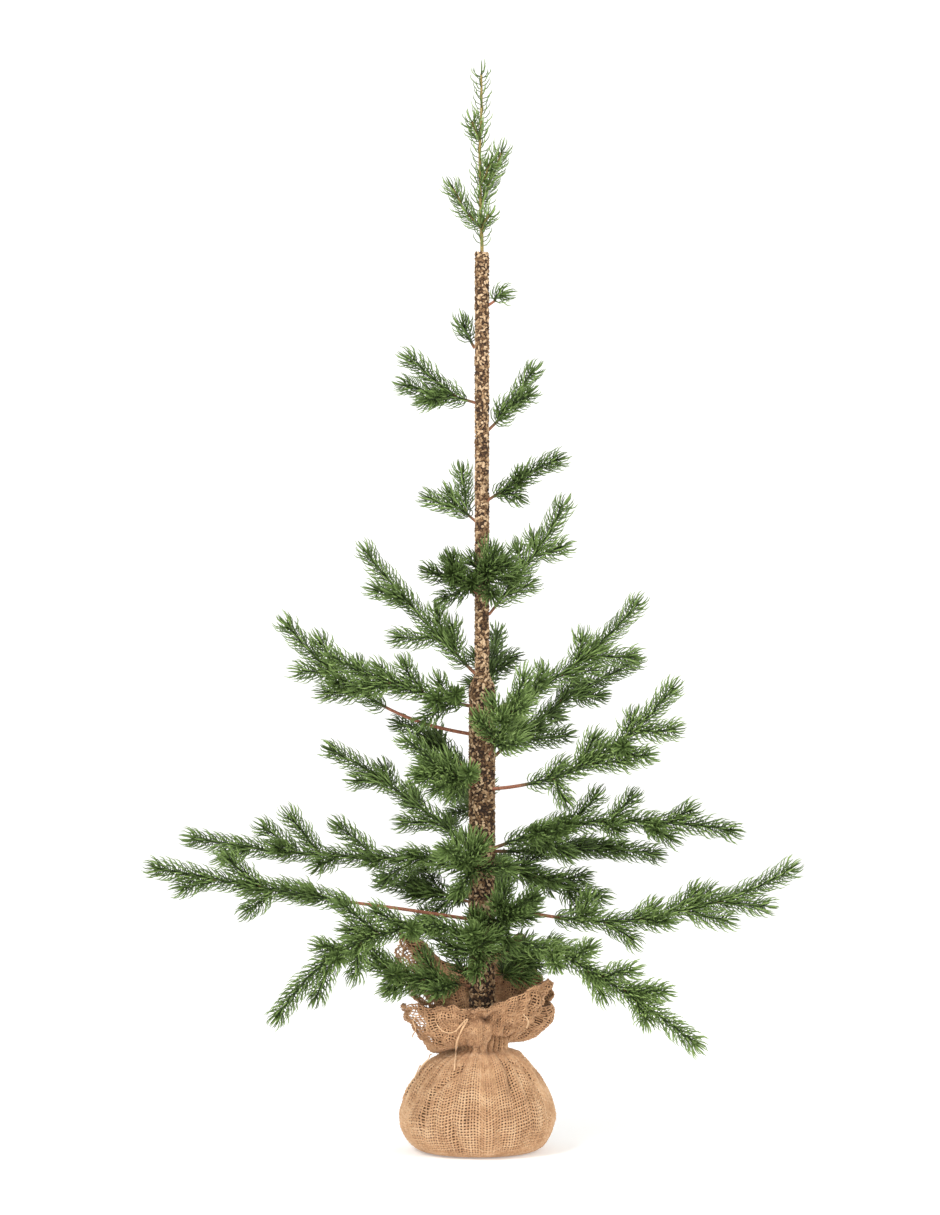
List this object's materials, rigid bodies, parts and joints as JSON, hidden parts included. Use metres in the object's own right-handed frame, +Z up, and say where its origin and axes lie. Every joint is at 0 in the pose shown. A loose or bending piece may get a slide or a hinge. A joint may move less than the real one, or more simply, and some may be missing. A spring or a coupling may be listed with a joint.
{
  "type": "artificial tabletop tree",
  "caption": "Slim artificial spruce with a bark-chip trunk, bendable needle branches and a weighted base wrapped in gathered burlap.",
  "frame": {"origin": "on the trunk's axis, at the flat face that the burlap wrap stands on", "axes": "+Z up along the trunk, +X to the viewer's right, +Y to the back"},
  "size_m": [0.54, 0.3462, 0.908],
  "materials": {
    "foliage": null,
    "paper_tape": "steel wire wrapped in matte reddish brown paper tape",
    "bark": "glued bark and cork chips, rough",
    "kraft_tube": "plain kraft paper tube",
    "steel_rod": "plain drawn rod",
    "cement": "cast cement",
    "tub_plastic": "thin moulded tub, satin",
    "burlap": "plain woven natural jute, coarse and matte",
    "jute_twine": "twisted natural jute"
  },
  "bodies": {
    "stand": {"ballast_tub": "tub_plastic", "ballast": "cement", "core_rod": "steel_rod", "lower_trunk_tube": "kraft_tube", "lower_bark": "bark", "upper_bark": "bark", "burlap_sack": "burlap", "neck_twine": "jute_twine"},
    "branch_01_left": {"branch_01_left_needles": "foliage", "branch_01_left_wire": "paper_tape"},
    "branch_02_right": {"branch_02_right_needles": "foliage", "branch_02_right_wire": "paper_tape"},
    "branch_03_left": {"branch_03_left_needles": "foliage", "branch_03_left_wire": "paper_tape"},
    "branch_04_right": {"branch_04_right_needles": "foliage", "branch_04_right_wire": "paper_tape"},
    "branch_05_left": {"branch_05_left_needles": "foliage", "branch_05_left_wire": "paper_tape"},
    "branch_06_left": {"branch_06_left_needles": "foliage", "branch_06_left_wire": "paper_tape"},
    "branch_07_right": {"branch_07_right_needles": "foliage", "branch_07_right_wire": "paper_tape"},
    "branch_08_right": {"branch_08_right_needles": "foliage", "branch_08_right_wire": "paper_tape"},
    "branch_09_right": {"branch_09_right_needles": "foliage", "branch_09_right_wire": "paper_tape"},
    "branch_10_left": {"branch_10_left_needles": "foliage", "branch_10_left_wire": "paper_tape"},
    "branch_11_right": {"branch_11_right_needles": "foliage", "branch_11_right_wire": "paper_tape"},
    "branch_12_left": {"branch_12_left_needles": "foliage", "branch_12_left_wire": "paper_tape"},
    "branch_13_left": {"branch_13_left_needles": "foliage", "branch_13_left_wire": "paper_tape"},
    "leader": {"leader_needles": "foliage", "leader_wire": "paper_tape"},
    "spray_01_back": {"spray_01_back": "foliage"},
    "spray_02_left": {"spray_02_left": "foliage"},
    "spray_03_right": {"spray_03_right": "foliage"},
    "spray_04_front": {"spray_04_front": "foliage"},
    "spray_05_right": {"spray_05_right": "foliage"},
    "spray_06_left": {"spray_06_left": "foliage"},
    "spray_07_back": {"spray_07_back": "foliage"},
    "spray_08_front": {"spray_08_front": "foliage"},
    "spray_09_right": {"spray_09_right": "foliage"},
    "spray_10_right": {"spray_10_right": "foliage"},
    "spray_11_back": {"spray_11_back": "foliage"},
    "spray_12_left": {"spray_12_left": "foliage"},
    "spray_13_left": {"spray_13_left": "foliage"},
    "spray_14_front": {"spray_14_front": "foliage"},
    "spray_15_back": {"spray_15_back": "foliage"},
    "spray_16_right": {"spray_16_right": "foliage"},
    "spray_17_left": {"spray_17_left": "foliage"},
    "spray_18_front": {"spray_18_front": "foliage"},
    "spray_19_left": {"spray_19_left": "foliage"},
    "spray_20_right": {"spray_20_right": "foliage"},
    "spray_21_right": {"spray_21_right": "foliage"},
    "spray_22_left": {"spray_22_left": "foliage"},
    "spray_23_left": {"spray_23_left": "foliage"},
    "spray_24_right": {"spray_24_right": "foliage"}
  },
  "joints": [
    {"name": "branch_01_left_root", "type": "hinge", "parent": "stand", "child": "branch_01_left", "pos_m": [-0.00914, -0.00882, 0.18029], "axis": [-0.6947, 0.7193, 0], "range_deg": [-16, 20]},
    {"name": "branch_02_right_root", "type": "hinge", "parent": "stand", "child": "branch_02_right", "pos_m": [0.00914, -0.00882, 0.18029], "axis": [-0.6947, -0.7193, 0], "range_deg": [-16, 20]},
    {"name": "branch_03_left_root", "type": "hinge", "parent": "stand", "child": "branch_03_left", "pos_m": [-0.01215, -0.00371, 0.19357], "axis": [-0.2924, 0.9563, 0], "range_deg": [-16, 20]},
    {"name": "branch_04_right_root", "type": "hinge", "parent": "stand", "child": "branch_04_right", "pos_m": [0.01254, -0.00199, 0.20486], "axis": [-0.1564, -0.9877, 0], "range_deg": [-16, 20]},
    {"name": "branch_05_left_root", "type": "hinge", "parent": "stand", "child": "branch_05_left", "pos_m": [-0.01268, 0.00066, 0.2447], "axis": [0.0523, 0.9986, 0], "range_deg": [-16, 20]},
    {"name": "branch_06_left_root", "type": "hinge", "parent": "stand", "child": "branch_06_left", "pos_m": [-0.011, 0.00635, 0.25333], "axis": [0.5, 0.866, 0], "range_deg": [-16, 12]},
    {"name": "branch_07_right_root", "type": "hinge", "parent": "stand", "child": "branch_07_right", "pos_m": [0.01193, -0.00434, 0.25333], "axis": [-0.342, -0.9397, 0], "range_deg": [-16, 20]},
    {"name": "branch_08_right_root", "type": "hinge", "parent": "stand", "child": "branch_08_right", "pos_m": [0.01065, -0.00692, 0.30246], "axis": [-0.5446, -0.8387, 0], "range_deg": [-8, 20]},
    {"name": "branch_09_right_root", "type": "hinge", "parent": "stand", "child": "branch_09_right", "pos_m": [0.01077, 0.00673, 0.32902], "axis": [0.5299, -0.848, 0], "range_deg": [-16, 20]},
    {"name": "branch_10_left_root", "type": "hinge", "parent": "stand", "child": "branch_10_left", "pos_m": [-0.01267, -0.00089, 0.34828], "axis": [-0.0698, 0.9976, 0], "range_deg": [-16, 20]},
    {"name": "branch_11_right_root", "type": "hinge", "parent": "stand", "child": "branch_11_right", "pos_m": [0.01269, 0.00044, 0.36886], "axis": [0.0349, -0.9994, 0], "range_deg": [-16, 20]},
    {"name": "branch_12_left_root", "type": "hinge", "parent": "stand", "child": "branch_12_left", "pos_m": [-0.01089, -0.00654, 0.37152], "axis": [-0.515, 0.8572, 0], "range_deg": [-16, 20]},
    {"name": "branch_13_left_root", "type": "hinge", "parent": "stand", "child": "branch_13_left", "pos_m": [-0.00703, 0.00313, 0.39941], "axis": [0.4067, 0.9135, 0], "range_deg": [-16, 20]},
    {"name": "leader_root", "type": "hinge", "parent": "stand", "child": "leader", "pos_m": [0, 0, 0.75], "axis": [0, -1, 0], "range_deg": [-14, 14]},
    {"name": "spray_01_back_root", "type": "hinge", "parent": "stand", "child": "spray_01_back", "pos_m": [-0.0085, 0.00944, 0.13646], "axis": [0.7431, 0.6691, 0], "range_deg": [-8, 20]},
    {"name": "spray_02_left_root", "type": "hinge", "parent": "stand", "child": "spray_02_left", "pos_m": [-0.01169, -0.00496, 0.13779], "axis": [-0.3907, 0.9205, 0], "range_deg": [-4, 20]},
    {"name": "spray_03_right_root", "type": "hinge", "parent": "stand", "child": "spray_03_right", "pos_m": [0.01141, 0.00557, 0.14178], "axis": [0.4384, -0.8988, 0], "range_deg": [-8, 20]},
    {"name": "spray_04_front_root", "type": "hinge", "parent": "stand", "child": "spray_04_front", "pos_m": [-0.00177, -0.01258, 0.16435], "axis": [-0.9903, 0.1392, 0], "range_deg": [-16, 8]},
    {"name": "spray_05_right_root", "type": "hinge", "parent": "stand", "child": "spray_05_right", "pos_m": [0.00557, -0.01141, 0.1856], "axis": [-0.8988, -0.4384, 0], "range_deg": [-8, 20]},
    {"name": "spray_06_left_root", "type": "hinge", "parent": "stand", "child": "spray_06_left", "pos_m": [-0.01077, 0.00673, 0.20685], "axis": [0.5299, 0.848, 0], "range_deg": [-16, 20]},
    {"name": "spray_07_back_root", "type": "hinge", "parent": "stand", "child": "spray_07_back", "pos_m": [0.00133, 0.01263, 0.19224], "axis": [0.9945, -0.1045, 0], "range_deg": [-16, 20]},
    {"name": "spray_08_front_root", "type": "hinge", "parent": "stand", "child": "spray_08_front", "pos_m": [-0.00476, -0.01178, 0.23341], "axis": [-0.9272, 0.3746, 0], "range_deg": [-16, 20]},
    {"name": "spray_09_right_root", "type": "hinge", "parent": "stand", "child": "spray_09_right", "pos_m": [0.0116, 0.00517, 0.24934], "axis": [0.4067, -0.9135, 0], "range_deg": [-16, 20]},
    {"name": "spray_10_right_root", "type": "hinge", "parent": "stand", "child": "spray_10_right", "pos_m": [0.01267, 0.00089, 0.24005], "axis": [0.0698, -0.9976, 0], "range_deg": [-16, 20]},
    {"name": "spray_11_back_root", "type": "hinge", "parent": "stand", "child": "spray_11_back", "pos_m": [-0.00177, 0.01258, 0.27856], "axis": [0.9903, 0.1392, 0], "range_deg": [-16, 20]},
    {"name": "spray_12_left_root", "type": "hinge", "parent": "stand", "child": "spray_12_left", "pos_m": [-0.01077, 0.00673, 0.31442], "axis": [0.5299, 0.848, 0], "range_deg": [-16, 20]},
    {"name": "spray_13_left_root", "type": "hinge", "parent": "stand", "child": "spray_13_left", "pos_m": [-0.00914, -0.00882, 0.30512], "axis": [-0.6947, 0.7193, 0], "range_deg": [-16, 20]},
    {"name": "spray_14_front_root", "type": "hinge", "parent": "stand", "child": "spray_14_front", "pos_m": [0.00746, -0.01027, 0.33301], "axis": [-0.809, -0.5878, 0], "range_deg": [-16, 20]},
    {"name": "spray_15_back_root", "type": "hinge", "parent": "stand", "child": "spray_15_back", "pos_m": [0.00133, 0.01263, 0.37816], "axis": [0.9945, -0.1045, 0], "range_deg": [-16, 20]},
    {"name": "spray_16_right_root", "type": "hinge", "parent": "stand", "child": "spray_16_right", "pos_m": [0.00763, 0.00107, 0.44987], "axis": [0.1392, -0.9903, 0], "range_deg": [-16, 16]},
    {"name": "spray_17_left_root", "type": "hinge", "parent": "stand", "child": "spray_17_left", "pos_m": [-0.00653, -0.00408, 0.46714], "axis": [-0.5299, 0.848, 0], "range_deg": [-16, 8]},
    {"name": "spray_18_front_root", "type": "hinge", "parent": "stand", "child": "spray_18_front", "pos_m": [0.00186, -0.00747, 0.47245], "axis": [-0.9703, -0.2419, 0], "range_deg": [-16, 20]},
    {"name": "spray_19_left_root", "type": "hinge", "parent": "stand", "child": "spray_19_left", "pos_m": [-0.0068, 0.00361, 0.5269], "axis": [0.4695, 0.8829, 0], "range_deg": [-16, 16]},
    {"name": "spray_20_right_root", "type": "hinge", "parent": "stand", "child": "spray_20_right", "pos_m": [0.00667, -0.00385, 0.54416], "axis": [-0.5, -0.866, 0], "range_deg": [-16, 20]},
    {"name": "spray_21_right_root", "type": "hinge", "parent": "stand", "child": "spray_21_right", "pos_m": [0.0074, 0.00212, 0.60392], "axis": [0.2756, -0.9613, 0], "range_deg": [-16, 20]},
    {"name": "spray_22_left_root", "type": "hinge", "parent": "stand", "child": "spray_22_left", "pos_m": [-0.00753, -0.0016, 0.62517], "axis": [-0.2079, 0.9781, 0], "range_deg": [-16, 20]},
    {"name": "spray_23_left_root", "type": "hinge", "parent": "stand", "child": "spray_23_left", "pos_m": [-0.00763, 0.00107, 0.67298], "axis": [0.1392, 0.9903, 0], "range_deg": [-16, 8]},
    {"name": "spray_24_right_root", "type": "hinge", "parent": "stand", "child": "spray_24_right", "pos_m": [0.00744, -0.00199, 0.7075], "axis": [-0.2588, -0.9659, 0], "range_deg": [-16, 20]}
  ]
}
